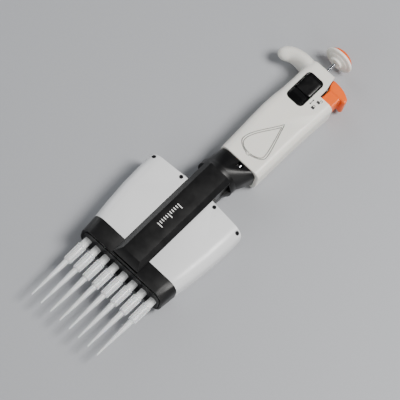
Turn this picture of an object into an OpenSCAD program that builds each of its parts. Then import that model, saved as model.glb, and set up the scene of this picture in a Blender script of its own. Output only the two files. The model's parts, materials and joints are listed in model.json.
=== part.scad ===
// Eight-channel pipette: one hand unit with its plunger, volume counter, lock and tip ejector,
// and a lower unit of eight air-displacement channels that swivels on the hand unit's neck.
// The pipette lies on its back. X runs along the row of tips, +Y towards the plunger button,
// +Z away from the surface it lies on. Lengths are in millimetres.
// Inside the modules Z is measured from the plunger's axis and Y from the base's lower face.

/* [Nozzle row] */
// Distance from one nozzle to the next, as in a 96-well plate
tip_pitch = 9; // [8.8:0.1:9.2]
// Number of channels
channels = 8; // [8:8:8]
// Length of each nozzle that shows between the base and its tip
nozzle_show = 6.2; // [5.2:0.2:7.2]
// Length of each nozzle that is inside its tip
nozzle_grip = 6.1; // [5:0.1:8]
// Radius of a nozzle at the base
nozzle_r = 3.0; // [2.8:0.05:3.1]
// Radius of the air hole in a nozzle
air_r = 0.6; // [0.3:0.1:1]

/* [Tips] */
// Length of one tip
tip_len = 51.9; // [45:0.5:60]
// Radius of a tip over its ribbed top
tip_top_r = 3.7; // [3.5:0.05:3.9]
// Length of the ribbed top of a tip
tip_rib_len = 16.6; // [14:0.2:20]
// Radius of a tip's cone just below the ribbed top
tip_cone_r = 2.1; // [1.8:0.05:2.4]
// Radius of the point of a tip
tip_end_r = 0.6; // [0.5:0.05:0.9]
// Number of ribs round the top of a tip
tip_ribs = 10; // [6:1:12]

/* [Lower unit] */
// Depth of the base and the covers, front to back
unit_depth = 26; // [24:0.5:31.2]
// Radius of the rounded ends of the base and the covers
end_r = 9; // [6:0.5:10]
// Width of the base at its lower face
base_w = 77.6; // [76.5:0.1:80]
// Width of the covers at the base
cover_foot_w = 80; // [79:0.2:84]
// Width of the covers at their widest
cover_w = 88.6; // [86:0.2:100]
// Height of the base
base_h = 14.2; // [13:0.2:18]
// Height from the base's lower face to the inner top corner of a cover
cover_top = 80.9; // [78:0.2:90]
// Fall of a cover's top edge, in degrees
cover_fall = 4.4; // [0:0.2:7]
// Wall of the covers, the base and the column
wall = 1.6; // [1.2:0.1:2]
// Half width of the column's front face
column_face = 7.85; // [6.5:0.05:9]
// Half width of the column at its sides
column_half = 11.6; // [11:0.1:12.4]
// How far the column's front stands out from the covers
column_proud = 3.6; // [2:0.1:5]

/* [Channels] */
// Radius of a piston
piston_r = 2.5; // [2:0.05:2.7]
// Travel of the plunger and the pistons, blow-out included
stroke = 12; // [8:0.5:12]
// Height of the cylinders above the cylinder block
cylinder_h = 37; // [34:1:38]

/* [Swivel neck] */
// Height of the swivel joint above the base's lower face
swivel_y = 104.35; // [102:0.2:110]
// Radius of the swivel's journal
journal_r = 7.5; // [7:0.1:8]
// Radius of the neck at the swivel
neck_r = 15; // [14.5:0.1:16]
// Radius of the swivel ring's flange
flange_r = 15.8; // [15:0.1:17]
// Height of the neck between the swivel and the handle
neck_h = 14.8; // [13:0.2:18]

/* [Handle] */
// Length of the handle
handle_len = 100.9; // [98:0.5:121]
// Distance from the axis to the handle's finger side
finger_side = 13; // [12.6:0.1:15]
// Distance from the axis to the handle's palm side at the top
palm_side = 25.2; // [24.6:0.1:28]
// Distance from the axis to the handle's front face
front_z = 11.7; // [11.3:0.1:13]
// Rounding of the handle's long edges
edge_r = 7; // [5:0.5:8]
// Wall of the handle's shells
shell = 2; // [1.6:0.1:2.2]
// Reach of the finger hook from the axis
hook_reach = 37.4; // [32:0.2:42]
// Radius of the finger hook's arm
hook_r = 5.5; // [4.5:0.1:6.5]

/* [Window and lock] */
// Width of the black window
window_w = 15.3; // [13:0.1:16]
// Height of the black window
window_h = 27.5; // [26:0.1:30]
// Part of the window that the lock's slide fills
slide_h = 10.8; // [9:0.1:12]
// Travel of the lock's slide
lock_travel = 4; // [2:0.5:4]

/* [Button and stem] */
// Radius of the button's rim
button_r = 11.9; // [10:0.1:14]
// Length of stem that shows between the handle and the button
stem_show = 12.7; // [12.5:0.1:16]
// Radius of the stem
stem_r = 1.25; // [1:0.05:1.5]

/* [Tip ejector] */
// Travel of the ejector
eject_travel = 8.5; // [7:0.1:9]

/* [Hidden] */
$fn = 48;
run_gap = 0.05;      // radial clearance of a running fit
gap = 0.3;           // clearance between pieces that move past each other
snug = 0.1;          // clearance between fixed pieces
axis_z = unit_depth / 2;

// Heights along the axis, from the base's lower face
tip_top_y = -nozzle_show - 0.5;
tip_end_y = tip_top_y - tip_len;
plate_y = 4.6;
plate_t = 2.4;
block_y = plate_y + plate_t;
block_h = 6;
tube_y = block_y + block_h;
tube_top_y = tube_y + cylinder_h;
bar_y = tube_top_y + stroke + 2;
bar_t = 5;
neck_y = swivel_y + 0.15;
handle_y = neck_y + neck_h;
handle_top_y = handle_y + handle_len;
shoulder_y = handle_top_y - 21;
window_y = handle_top_y - 38.2;
slide_y = window_y + slide_h;
boss_y = handle_top_y + stem_show;
button_top_y = boss_y + 10.8;
mid_y = (button_top_y + tip_end_y) / 2;

// Row of nozzles
row_x = [for (i = [0 : channels - 1]) (i - (channels - 1) / 2) * tip_pitch];

// Swivel
ring_y = swivel_y - 6.8;
journal_y = ring_y - 0.5;
clip_y = journal_y - 1.6;
clip_t = 1.2;
journal_bore = 4;
ring_floor = 3;
collar_in = journal_r + 1.4;
collar_out = collar_in + 2.8;
collar_t = 2.5;
collar_y = ring_y + ring_floor + eject_travel + 0.6;
link_z = -8.5;
link_x = sqrt(pow(collar_in + 1.5043, 2) - link_z * link_z);
link_r = 1.2;
eject_bar_top = 1.7;

// Plunger train inside the handle
housing_r = 8.2;
housing_in = 6.9;
housing_y = handle_y + 2.6;
rod_r = 3;
rod_y = housing_y + 0.2;
rod_top_y = rod_y + 58;
seat_y = housing_y + 16;
seat_t = 2;
collar_top_y = rod_top_y - 6;
washer_t = 2.6;
spring_y = seat_y + seat_t + 0.2;
spring_top_y = collar_top_y - washer_t - 0.2;
stem_y = rod_top_y - 5;

// Counter
drum_r = 8.4;
drum_h = 3.6;
drum_gap = 0.5;
drum_y = slide_y + 4.3;
frame_t = 1.3;
frame_y = drum_y - frame_t - drum_gap;
frame_top_y = drum_y + 3 * (drum_h + drum_gap);
sleeve_r = 2.5;
frame_back = -axis_z + 2.8;
frame_front = 8.2;

// Ejector train inside the handle
stalk_x = 12.3;
stalk_w = 10.8;
stalk_z = 8;
pad_y = shoulder_y + eject_travel + 2;
pad_z = 9;
upper_x = 16;
upper_z = -1;
lower_z = 7.6;
lower_x = sqrt(pow(collar_in + 1.569, 2) - lower_z * lower_z);
push_r = 1.1;
jog_y = shoulder_y - 38;
push_y = collar_y + collar_t + gap;
lug_y = shoulder_y - 25;

// Finger hook: points of its centre line out to the rounded tip, with half its height and half its depth
hook_tip_x = -(hook_reach - hook_r - 0.2);
hook_pts = [[-8, handle_top_y - 5.6, hook_r + 0.1, 11.2], [-14, handle_top_y - 4.8, hook_r + 0.1, 10.6],
            [-20, handle_top_y - 4.4, hook_r + 0.2, 9.3], [-24, handle_top_y - 4.8, hook_r + 0.2, 8.1],
            [hook_tip_x + 4.5, handle_top_y - 6.2, hook_r + 0.2, 6.9], [hook_tip_x, handle_top_y - 9.4,
                hook_r + 0.2, 5.7]];

// Places of the screws: [x, y], and for the handle the height of the face they enter
cover_screw = [[16.2, cover_top - 2.7], [cover_w / 2 - 3.55, cover_top - 4.6]];
handle_screw = [[17, handle_y + 9, -axis_z], [18.5, handle_y + 30, -axis_z], [-20.5,
    handle_top_y - 4.6, -9]];

// ---------- helpers ----------

// Moves a piece from the axis frame to where the pipette lies
module at_rest() { translate([0, -mid_y, axis_z]) children(); }

// A rod along the axis from y0 to y1
module rod(r, y0, y1) { translate([0, y0, 0]) rotate([-90, 0, 0]) cylinder(r = r, h = y1 - y0); }

// A tube along the axis
module tube(ro, ri, y0, y1) {
    difference() {
        rod(ro, y0, y1);
        rod(ri, y0 - 1, y1 + 1);
    }
}

// A cone along the axis
module cone(r0, r1, y0, y1) { translate([0, y0, 0]) rotate([-90, 0, 0]) cylinder(r1 = r0, r2 = r1,
    h = y1 - y0); }

// A 2D shape in X and Z, drawn from y0 to y1
module across(y0, y1) { translate([0, y1, 0]) rotate([90, 0, 0]) linear_extrude(y1 - y0) children(); }

// A 2D shape in X and Y, drawn from z0 to z1
module upright(z0, z1) { translate([0, 0, z0]) linear_extrude(z1 - z0) children(); }

// A solid of revolution about the axis: points are [radius, y]
module turned(points) { rotate([90, 0, 0]) mirror([0, 0, 1]) rotate_extrude() polygon(points); }

// Corner points of a rectangle from [x0, z0] to [x1, z1] with one rounding per side
function arc_pts(cx, cy, r, a0, a1, n = 6) = [for (i = [0 : n]) let (a = a0 + (a1 - a0) * i / n)
    [cx + r * cos(a), cy + r * sin(a)]];
function soft_rect(x0, x1, z0, z1, rl, rr) = concat(
    arc_pts(x1 - rr, z1 - rr, rr, 0, 90), arc_pts(x0 + rl, z1 - rl, rl, 90, 180),
    arc_pts(x0 + rl, z0 + rl, rl, 180, 270), arc_pts(x1 - rr, z0 + rr, rr, 270, 360));

// The half space in front of (side = 1) or behind (side = -1) the split plane
module half(side) {
    translate([-100, -100, side > 0 ? snug / 2 : -100 - snug / 2]) cube([200, 500, 100]);
}

// A coil spring: a round wire swept along a helix about the Y axis through [x, z]
module coil(x, z, mean_r, wire_r, turns, y0, y1, sides = 6, steps = 12) {
    n = turns * steps;
    rise = (y1 - y0 - 2 * wire_r) / n;
    ring = [for (k = [0 : n]) for (s = [0 : sides - 1])
        let (a = 360 * k / steps, b = 360 * s / sides, r = mean_r + wire_r * cos(b))
        [x + r * cos(a), y0 + wire_r + rise * k + wire_r * sin(b), z + r * sin(a)]];
    side_faces = [for (k = [0 : n - 1]) for (s = [0 : sides - 1]) for (h = [0, 1])
        let (t = (s + 1) % sides, a = k * sides, b = (k + 1) * sides)
        h == 0 ? [a + s, b + s, b + t] : [a + s, b + t, a + t]];
    ends = [[for (s = [0 : sides - 1]) s], [for (s = [sides - 1 : -1 : 0]) n * sides + s]];
    polyhedron(points = ring, faces = concat(side_faces, ends), convexity = 10);
}

// ---------- handle ----------

// Section of the handle at height y, grown by g: the finger side bulges half way up
module handle_slice(y, left, right, depth_cut, g) {
    across(y, y + 0.01) polygon(soft_rect(-left - g, right + g, -axis_z + depth_cut - g,
        front_z - depth_cut + g, edge_r - depth_cut / 2 + g, edge_r - depth_cut / 2 - 2 + g));
}

module handle_body(g) {
    top = handle_top_y + g;
    hull() {
        handle_slice(handle_y - g, finger_side, palm_side - 1.7, 0, g);
        handle_slice(handle_y + handle_len * 0.27, finger_side + 0.9, palm_side - 1.6, 0, g);
        handle_slice(handle_y + handle_len * 0.48, finger_side + 1.7, palm_side - 1.4, 0, g);
        handle_slice(handle_y + handle_len * 0.62, finger_side + 0.8, palm_side - 0.8, 0, g);
        handle_slice(top - 4, finger_side, palm_side, 0, g);
        handle_slice(top - 1.2, finger_side - 1.2, palm_side - 1.2, 1.2, g);
        handle_slice(top - 0.01, finger_side - 3.5, palm_side - 4, 3.5, g);
    }
}

module hook_arm() {
    for (i = [0 : len(hook_pts) - 2]) hull() for (p = [hook_pts[i], hook_pts[i + 1]])
        translate([p[0], p[1], -0.6]) scale([1, 1, p[3] / p[2]]) sphere(r = p[2], $fn = 24);
}

// Everything that the ejector's pad and stalk need clear of the handle
module ejector_room() {
    upright(-50, 50) polygon([[8.9, handle_top_y + 20], [8.9, handle_top_y - 1.5], [11.4,
        handle_top_y - 13],
        [11.4, shoulder_y], [60, shoulder_y], [60, handle_top_y + 20]]);
    // behind the sloping lips, room for the pad's corner when it is pressed
    upright(-pad_z - gap, pad_z + gap) polygon([[9.1, handle_top_y + 20], [9.1,
        handle_top_y - 2.4 - eject_travel - gap],
        [9.6, handle_top_y - 6.4 - eject_travel - gap], [11.5, shoulder_y + 2], [60, shoulder_y + 2],
            [60, handle_top_y + 20]]);
    translate([stalk_x - gap, shoulder_y - eject_travel - 1, -stalk_z - gap]) cube([stalk_w + 2 * gap,
        30, 2 * (stalk_z + gap)]);
}

module window_shape(g) {
    polygon(soft_rect(-window_w / 2 - g, window_w / 2 + g, window_y - g, window_y + window_h + g,
        3.6 + g, 3.6 + g));
}

module handle_shell(side) {
    difference() {
        intersection() {
            union() {
                difference() {
                    union() {
                        handle_body(0);
                        hook_arm();
                    }
                    difference() {
                        handle_body(-shell);
                        // wall between the inside and the ejector's room
                        translate([9.4, shoulder_y - 1.8, -50]) cube([60, 60, 100]);
                    }
                }
                for (p = [handle_screw[0], handle_screw[1]]) translate([p[0], p[1], -axis_z + 1])
                    cylinder(r = 2.6, h = axis_z + front_z - 2);
                if (side < 0) translate([11.2, lug_y, -axis_z + 1]) cube([12, 1.8, axis_z + 2]);
            }
            half(side);
        }
        ejector_room();
        rod(9.7, handle_y - 1, handle_y + 3);
        rod(3.1, handle_top_y - 10, handle_top_y + 10);
        upright(-1, 50) window_shape(snug);
        translate([upper_x, 0, upper_z]) rod(push_r + 0.2, lug_y - 5, lug_y + 5);
        translate([lower_x, 0, lower_z]) rod(push_r + gap, handle_y - 1, handle_y + shell + 1);
        for (p = handle_screw) {
            translate([p[0], p[1], p[2] - 1]) cylinder(r = 1.1, h = 4.5 - p[2]);
            translate([p[0], p[1], p[2] - 1]) cylinder(r = 2.1, h = 3.2);
        }
    }
}

module handle_front() { color("#F0EEE6") at_rest() handle_shell(1); }

module handle_back() { color("#ECEAE2") at_rest() handle_shell(-1); }

// Pan-head screws that hold the two shells together, fitted from the back
module handle_screws() {
    color("#3A3A3C") at_rest() for (p = handle_screw) translate([p[0], p[1], p[2]]) difference() {
        union() {
            translate([0, 0, 0.9]) cylinder(r = 1.9, h = 1.2);
            translate([0, 0, 1]) cylinder(r = 1.0, h = 2 - p[2]);
        }
        translate([0, 0, 0.5]) cylinder(r = 0.8, h = 1.1, $fn = 6);
    }
}

// ---------- window, counter and lock ----------

module window_bezel() {
    color("#121214") at_rest() {
        difference() {
            upright(front_z - 2.4, front_z + 0.2) window_shape(0);
            upright(front_z - 3, front_z + 1) polygon(soft_rect(-window_w / 2 + 1.1, window_w / 2 - 1.1,
                window_y + 1.1, window_y + window_h - 1.1, 2.6, 2.6));
        }
        // stops that end the slide's travel under the lens
        for (s = [-1, 1]) translate([s * (window_w / 2 - 1.5) - 0.5, slide_y + lock_travel, front_z - 2.4])
            cube([1, 1, 1.2]);
    }
}

module counter_window() {
    color("#1B1C20") at_rest() upright(front_z - 1, front_z) polygon(soft_rect(
        -window_w / 2 + 1.1 + snug, window_w / 2 - 1.1 - snug, slide_y,
            window_y + window_h - 1.1 - snug, 2.5, 2.5));
}

// The lock's slide runs under the lens, with finger ribs on the part that shows
module lock_slide() {
    half_w = window_w / 2 - 1.1 - snug;
    low = window_y + 1.1 + snug;
    color("#1E1E20") at_rest() {
        upright(front_z - 2.3, front_z - 1 - snug) union() {
            polygon(soft_rect(-half_w, half_w, low, slide_y - snug, 2.6, 2.6));
            translate([-half_w, low + 3]) square([2 * half_w, slide_y - snug - low - 3]);
        }
        for (i = [0 : 2]) translate([-half_w + 0.9, low + 1.3 + i * 1.6, front_z - 1.2])
            cube([2 * half_w - 1.8, 0.8, 1]);
    }
}

module counter_frame() {
    color("#4A4A4E") at_rest() difference() {
        union() {
            for (y = [frame_y, frame_top_y]) translate([-8.7, y, frame_back])
                cube([17.4, frame_t, frame_front - frame_back]);
            translate([-6, frame_y, frame_back]) cube([12, frame_top_y + frame_t - frame_y, 1.2]);
        }
        rod(sleeve_r + run_gap, frame_y - 1, frame_top_y + frame_t + 1);
    }
}

// One number ring of the counter, with its hub running on the volume sleeve
module drum(i) {
    y = drum_y + i * (drum_h + drum_gap);
    color("#E9E9E4") at_rest() {
        tube(drum_r, drum_r - 1.2, y, y + drum_h);
        tube(drum_r - 1, 3, y + 0.4, y + 1.4);
        tube(3.6, sleeve_r + run_gap, y, y + drum_h - 0.2);
    }
}

module volume_sleeve() {
    color("#C9CBCF") at_rest() {
        tube(sleeve_r, stem_r + run_gap, frame_y - 8, frame_top_y + frame_t + 0.8);
        tube(4, sleeve_r - 0.2, frame_y - 3, frame_y - 0.3);
    }
}

module stem_bush() {
    color("#D8D8D6") at_rest() {
        tube(3.1 - snug, stem_r + run_gap, frame_top_y + frame_t + 1, handle_top_y - 0.1);
        tube(4.6, 3, frame_top_y + frame_t + 1, handle_top_y - shell - 0.3);
    }
}

// ---------- plunger ----------

module stop_housing() {
    color("#5A5B60") at_rest() {
        tube(housing_r, housing_in, housing_y, rod_top_y + 2.5);
        tube(housing_in + 0.3, rod_r + run_gap, seat_y, seat_y + seat_t);
    }
}

module plunger_rod() {
    color("#C8CACE") at_rest() difference() {
        rod(rod_r, rod_y, rod_top_y);
        rod(stem_r + run_gap, stem_y - 0.3, rod_top_y + 1);
    }
}

module spring_washer() { color("#8A8C90") at_rest() tube(6.5, rod_r + 0.02, spring_top_y + 0.2,
    collar_top_y); }

module plunger_spring() { color("#B9BBBF") at_rest() coil(0, 0, 5.8, 0.4, 10, spring_y, spring_top_y); }

module blowout_spring() {
    color("#A9ABAF") at_rest() coil(0, 0, 4.05, 0.45, 7, spring_y, spring_top_y - stroke + 1.8);
}

module stem() { color("#D5D7DA") at_rest() rod(stem_r, stem_y, boss_y + 3); }

// White cup of the button: a boss on the stem, a stepped underside and a thin rim
module thumb_button() {
    color("#F4F2EC") at_rest() difference() {
        turned([[0, boss_y], [4.5, boss_y], [4.9, boss_y + 0.6], [5.2, boss_y + 1.5], [8.2, boss_y + 2.3],
            [8.5, boss_y + 2.8], [button_r - 0.8, boss_y + 3.4], [button_r, boss_y + 4.2],
            [button_r - 0.2, boss_y + 5.2], [button_r - 1.4, boss_y + 5.9], [button_r - 1.5,
                boss_y + 4.8], [0, boss_y + 4.8]]);
        rod(stem_r + 0.02, boss_y - 1, boss_y + 3);
    }
}

module button_cap() {
    rc = button_r - 1.6;
    h = button_top_y - boss_y - 4.9;
    big = (rc * rc + (h - 1) * (h - 1)) / (2 * (h - 1));
    color("#F26A1B") at_rest() turned(concat([[0, boss_y + 4.9], [rc, boss_y + 4.9]],
        [for (i = [0 : 8]) let (x = rc * (8 - i) / 8) [x, button_top_y - big + sqrt(big * big - x * x)]]));
}

// ---------- tip ejector, hand part ----------

module ejector_button() {
    color("#F7701D") at_rest() difference() {
        union() {
            upright(-pad_z, pad_z) polygon([[9.4, handle_top_y - 2.4], [10, handle_top_y - 6.2],
                [stalk_x - 0.1, pad_y + 0.2],
                [24, pad_y], [26.6, pad_y - 0.6], [27.8, pad_y + 0.5], [27.9, pad_y + 2], [26.4,
                    pad_y + 3.8],
                [23, handle_top_y - 4.4], [18, handle_top_y - 2.6], [13, handle_top_y - 2]]);
            translate([stalk_x, shoulder_y - 0.5, -stalk_z]) cube([stalk_w, pad_y - shoulder_y + 1,
                2 * stalk_z]);
        }
        translate([upper_x, 0, upper_z]) rod(push_r + 0.02, shoulder_y - 10, shoulder_y + 6);
    }
}

module ejector_rod() {
    color("#BFC1C5") at_rest() {
        translate([upper_x, 0, upper_z]) {
            rod(push_r, jog_y, shoulder_y + 6);
            rod(3, shoulder_y - 12, shoulder_y - 10.6);
        }
        translate([lower_x, 0, lower_z]) rod(push_r, push_y, jog_y + 2.4);
        hull() {
            translate([upper_x, 0, upper_z]) rod(push_r, jog_y, jog_y + 2.4);
            translate([lower_x, 0, lower_z]) rod(push_r, jog_y, jog_y + 2.4);
        }
    }
}

module ejector_spring() {
    color("#B9BBBF") at_rest() coil(upper_x, upper_z, 2.2, 0.3, 6, lug_y + 1.9, shoulder_y - 12.1);
}

// ---------- swivel neck ----------

// Space below the flat that the pipette lies on, cut from the round pieces of the neck
module below_back() { translate([-50, 0, -axis_z - 49.8]) cube([100, 200, 50]); }

module neck_adapter() {
    color("#1B1B1D") at_rest() difference() {
        union() {
            hull() {
                across(handle_y - 0.3, handle_y - 0.1) polygon(soft_rect(-finger_side + 1,
                    palm_side - 4.7, -11.4, front_z - 1.2, 7, 6));
                rod(neck_r, neck_y, neck_y + 1);
            }
            tube(9.6, 4, handle_y - 1, housing_y - 0.1);
            tube(journal_r, journal_bore, journal_y - 2, neck_y + 2);
        }
        below_back();
        rod(journal_bore, journal_y - 5, handle_y + 10);
        // ring-shaped room of the ejector's collar, round the journal's root
        tube(collar_out + gap, journal_r + 0.9, neck_y - 1, push_y + 0.9);
        translate([lower_x, 0, lower_z]) rod(push_r + gap, push_y, handle_y + 10);
        // notch where the ejector's rod shows
        translate([lower_x - 2.6, handle_y - 4.6, lower_z - 1]) cube([5.2, 4.2, 20]);
        tube(journal_r + 1, journal_r - 0.7, clip_y, clip_y + clip_t);
    }
}

module retaining_clip() {
    color("#9A9CA0") at_rest() difference() {
        tube(journal_r + 1.2, journal_r - 0.6, clip_y + 0.1, clip_y + clip_t - 0.1);
        translate([-2.2, clip_y - 1, -20]) cube([4.4, 4, 20]);
    }
}

module swivel_ring() {
    color("#202022") at_rest() difference() {
        union() {
            rod(flange_r, ring_y + 1.6, swivel_y);
            // plug in the column's top
            intersection() {
                across(ring_y - 4, ring_y + 5) polygon(column_pts(-wall - snug));
                translate([-50, 0, -50]) cube([100, 200, 50 + axis_z - 2.3]);
            }
            // stop that the column's ear turns against
            upright(-3, 3) polygon([[column_half + snug, ring_y - 5.4], [flange_r - 0.4, ring_y + 1.7],
                [column_half + snug, ring_y + 1.7]]);
        }
        below_back();
        rod(journal_r + run_gap, ring_y - 0.1, swivel_y + 1);
        rod(journal_r + 1.6, ring_y - 10, ring_y);
        // pocket that the ejector's collar comes down into
        tube(collar_out + gap, collar_in - gap, ring_y + ring_floor, swivel_y + 1);
        for (s = [-1, 1]) translate([s * link_x, 0, link_z]) rod(link_r + gap, ring_y - 10, swivel_y + 1);
    }
}

// ---------- lower unit ----------

// Outline of the column in X and Z: a flat front with bevels down to its sides
function column_pts(g) = [[-column_face - g * 0.4, axis_z + column_proud + g], [-column_half - g,
    axis_z + g * 0.4],
    [-column_half - g, -axis_z - g + 2], [-column_half - g + 2, -axis_z - g], [column_half + g - 2,
        -axis_z - g],
    [column_half + g, -axis_z - g + 2], [column_half + g, axis_z + g * 0.4], [column_face + g * 0.4,
        axis_z + column_proud + g]];

module column_shell(side) {
    top = ring_y + 1.5;
    difference() {
        intersection() {
            across(2, side > 0 ? top + 1.4 : top) polygon(column_pts(0));
            half(side);
        }
        across(9.5, top + 3) polygon(column_pts(-wall));
        translate([-column_half + wall, -1, -axis_z + wall]) cube([2 * (column_half - wall), 20,
            2 * (axis_z - wall)]);
        // below the covers' tops only the front and back plates remain between the cylinders
        translate([-50, -1, -7]) cube([100, cover_top + 0.5, 14]);
        // sloped lower end of the front
        if (side > 0) translate([0, 2, axis_z]) rotate([-58, 0, 0]) translate([-50, -10, -20])
            cube([100, 10, 60]);
        rod(flange_r + snug, ring_y + 1.5, swivel_y + 1);
        // room round the swivel's retaining clip
        rod(journal_r + 1.6, clip_y - 1, top + 3);
    }
}

module column_front() {
    color("#1C1C1E") at_rest() {
        column_shell(1);
        // small lug that locates the cover's inner top corner
        translate([column_half - 0.4, cover_top + 0.4, axis_z - 3]) cube([2, 2.2, 2.4]);
    }
}

module column_back() { color("#1C1C1E") at_rest() column_shell(-1); }

module base_slice(y, w, g) {
    across(y, y + 0.01) polygon(soft_rect(-w / 2 - g, w / 2 + g, -axis_z - g, axis_z + g, end_r + g,
        end_r + g));
}

module base_housing() {
    foot = base_w;
    head = cover_foot_w - 0.2;
    color("#17171A") at_rest() difference() {
        hull() {
            base_slice(0, foot, 0);
            base_slice(base_h - snug - 0.01, head, 0);
        }
        // recess for the ejector bar
        across(-1, plate_y) polygon(soft_rect(-foot / 2 + wall, foot / 2 - wall, -axis_z + wall,
            axis_z - wall,
            end_r - wall, end_r - wall));
        across(plate_y + plate_t, base_h + 1) polygon(soft_rect(-foot / 2 + wall, foot / 2 - wall,
            -axis_z + wall, axis_z - wall, end_r - wall, end_r - wall));
        for (x = row_x) translate([x, 0, 0]) rod(nozzle_r + 0.1, plate_y - 1, block_y + 1);
        for (s = [-1, 1]) translate([s * link_x, 0, link_z]) rod(link_r + gap, plate_y - 1, block_y + 1);
        // seat of the column's two plates
        across(1, base_h + 1) polygon(column_pts(snug));
    }
    // the floor carries on across the column's seat
    color("#17171A") at_rest() difference() {
        union() {
            translate([-column_half - 1, plate_y, -6.7]) cube([2 * column_half + 2, plate_t, 13.4]);
            translate([-column_half + wall + gap, plate_y, -axis_z + wall + gap + 1])
                cube([2 * (column_half - wall - gap), plate_t, 2 * (axis_z - wall - gap - 1)]);
        }
        for (x = row_x) translate([x, 0, 0]) rod(nozzle_r + 0.1, plate_y - 1, block_y + 1);
        for (s = [-1, 1]) translate([s * link_x, 0, link_z]) rod(link_r + gap, plate_y - 1, block_y + 1);
    }
}

// Section of the covers at height y, before they are split
module cover_slice(y, half_w, g) {
    across(y, y + 0.01) polygon(soft_rect(-half_w - g, half_w + g, -axis_z - g, axis_z + g, end_r + g,
        end_r + g));
}

module cover_form(g) {
    top = cover_top + 1;
    hull() {
        cover_slice(base_h + (g < 0 ? -1 : 0), cover_foot_w / 2, g);
        cover_slice(base_h + (cover_top - base_h) * 0.2, cover_foot_w / 2 + 1.7, g);
        cover_slice(base_h + (cover_top - base_h) * 0.5, cover_w / 2 - 0.7, g);
        cover_slice(base_h + (cover_top - base_h) * 0.75, cover_w / 2, g);
        cover_slice(top, cover_w / 2 - 0.1, g);
    }
}

// Everything above a cover's sloping top edge, lowered by g
module above_cover(g) {
    for (s = [0, 1]) mirror([s, 0, 0])
        translate([column_half, cover_top - g, -50]) rotate([0, 0, -cover_fall]) translate([-20, 0, 0])
            cube([90, 60, 100]);
}

module cover(hand, side) {
    difference() {
        intersection() {
            union() {
                difference() {
                    cover_form(0);
                    difference() {
                        cover_form(-wall);
                        above_cover(wall);
                        translate([-column_half - 0.4 - wall, 0, -50])
                            cube([2 * (column_half + 0.4 + wall), 200, 100]);
                    }
                }
                for (p = cover_screw) for (s = [-1, 1]) translate([s * p[0], p[1], -axis_z + wall])
                    cylinder(r = 2.2, h = 2 * (axis_z - wall) - (p[0] > 30 ? 2.4 : 0));
            }
            half(side);
            translate([hand > 0 ? column_half + 0.4 : -100 - column_half - 0.4, 0, -50]) cube([100,
                200, 100]);
        }
        above_cover(0);
        // the inner side wall stays open for the cylinders and the piston bar
        translate([-column_half - 3, base_h - 1, -7]) cube([2 * column_half + 6,
            bar_y + bar_t + 2 - base_h + 1, 14]);
        for (p = cover_screw) for (s = [-1, 1]) translate([s * p[0], p[1], 0]) {
            translate([0, 0, -axis_z + 2]) cylinder(r = 1, h = 2 * axis_z);
            translate([0, 0, p[0] > 30 ? axis_z - 4 : axis_z - 1.4]) cylinder(r = 1.6, h = 10);
        }
    }
}

module left_cover_front() { color("#EFEFEE") at_rest() cover(-1, 1); }
module left_cover_back() { color("#EBEBEA") at_rest() cover(-1, -1); }
module right_cover_front() { color("#EFEFEE") at_rest() cover(1, 1); }
module right_cover_back() { color("#EBEBEA") at_rest() cover(1, -1); }

module cover_screws() {
    color("#2A2A2C") at_rest() for (p = cover_screw) for (s = [-1, 1]) {
        head_z = p[0] > 30 ? axis_z - 3.9 : axis_z - 1.3;
        translate([s * p[0], p[1], 0]) difference() {
            union() {
                translate([0, 0, head_z]) cylinder(r = 1.5, h = 1.1);
                translate([0, 0, -axis_z + 4]) cylinder(r = 0.95, h = axis_z - 4 + head_z + 0.5);
            }
            translate([0, 0, head_z + 0.5]) cylinder(r = 0.7, h = 2, $fn = 6);
        }
    }
}

// ---------- channels ----------

block_half = (channels - 1) / 2 * tip_pitch + 4.4;
pin_x = 20;
pin_z = 8.2;
pin_r = 1.2;

module cylinder_block() {
    color("#8E9096") at_rest() difference() {
        union() {
            translate([-block_half, block_y + 0.02, -5.6]) cube([2 * block_half, block_h, 11.2]);
            for (s = [-1, 1]) translate([s * pin_x - 2.6, block_y + 0.02, 0]) cube([5.2, block_h, 10.6]);
            for (x = row_x) translate([x, 0, 0]) rod(3.9, tube_y - 1, tube_top_y);
        }
        for (x = row_x) translate([x, 0, 0]) {
            rod(nozzle_r + 0.02, block_y - 1, block_y + 3.6);
            rod(piston_r + run_gap, block_y, tube_top_y + 1);
            rod(3.3, tube_top_y - 2.4, tube_top_y + 1);
        }
        for (s = [-1, 1]) translate([s * pin_x, 0, pin_z]) rod(pin_r + 0.02, block_y + 1, tube_y + 1);
    }
}

// Lip seals in the tops of the cylinders
module piston_seals() {
    color("#3C3C40") at_rest() for (x = row_x) translate([x, 0, 0]) tube(3.28, piston_r + run_gap,
        tube_top_y - 2.3, tube_top_y - 0.3);
}

module guide_pins() {
    color("#C4C6CA") at_rest() for (s = [-1, 1]) translate([s * pin_x, 0, pin_z]) rod(pin_r,
        block_y + 1.1, bar_y + bar_t + 3);
}

module piston_bar() {
    color("#55565B") at_rest() difference() {
        union() {
            translate([-block_half + 0.6, bar_y, -3.8]) cube([2 * block_half - 1.2, bar_t, 7.6]);
            for (s = [-1, 1]) translate([s * pin_x - 2.6, bar_y, 0]) cube([5.2, bar_t, 10.6]);
        }
        for (x = row_x) translate([x, 0, 0]) rod(1.52, bar_y - 1, bar_y + bar_t + 1);
        rod(2.02, bar_y + 1, bar_y + bar_t + 1);
        for (s = [-1, 1]) translate([s * pin_x, 0, pin_z]) rod(pin_r + run_gap, bar_y - 1,
            bar_y + bar_t + 1);
    }
}

// Eight pistons, each with a thinner shank that is held in the piston bar
module pistons() {
    color("#DADCDF") at_rest() for (x = row_x) translate([x, 0, 0]) {
        rod(piston_r, bar_y - stroke - 28, bar_y - 0.1);
        rod(1.5, bar_y - 0.2, bar_y + bar_t - 0.5);
    }
}

module drive_rod() {
    color("#C8CACE") at_rest() {
        rod(2.6, bar_y + bar_t + 0.1, rod_y - gap);
        rod(2, bar_y + 1.2, bar_y + bar_t + 1);
    }
}

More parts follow.
